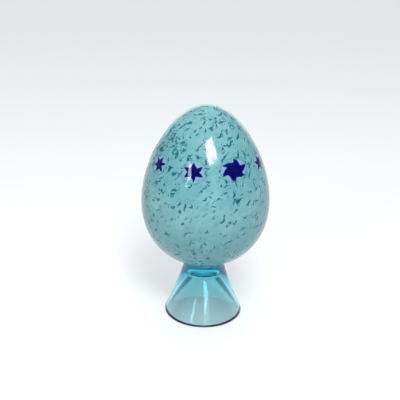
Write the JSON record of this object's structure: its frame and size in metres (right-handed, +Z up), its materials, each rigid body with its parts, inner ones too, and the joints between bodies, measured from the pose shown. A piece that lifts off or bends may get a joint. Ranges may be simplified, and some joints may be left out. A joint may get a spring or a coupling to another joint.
{
  "type": "murrine glass egg",
  "caption": "Blown glass egg with a belt of star murrine and dark threads in pale aqua glass, resting in the dished top of a hollow flared clear glass stand.",
  "frame": {"origin": "middle of the circle on which the stand's rim stands, at the bottom of the part", "axes": "+Z up along the egg's and the stand's common axis; the side seen in the picture faces -Y"},
  "size_m": [0.1048, 0.1048, 0.1802],
  "materials": {
    "speckled_glass": "polished opaque aqua glass with dark teal threads and cobalt star murrine",
    "aqua_glass": "clear aqua glass, fire polished"
  },
  "bodies": {
    "root": {"egg": "speckled_glass", "stand": "aqua_glass"}
  },
  "joints": []
}
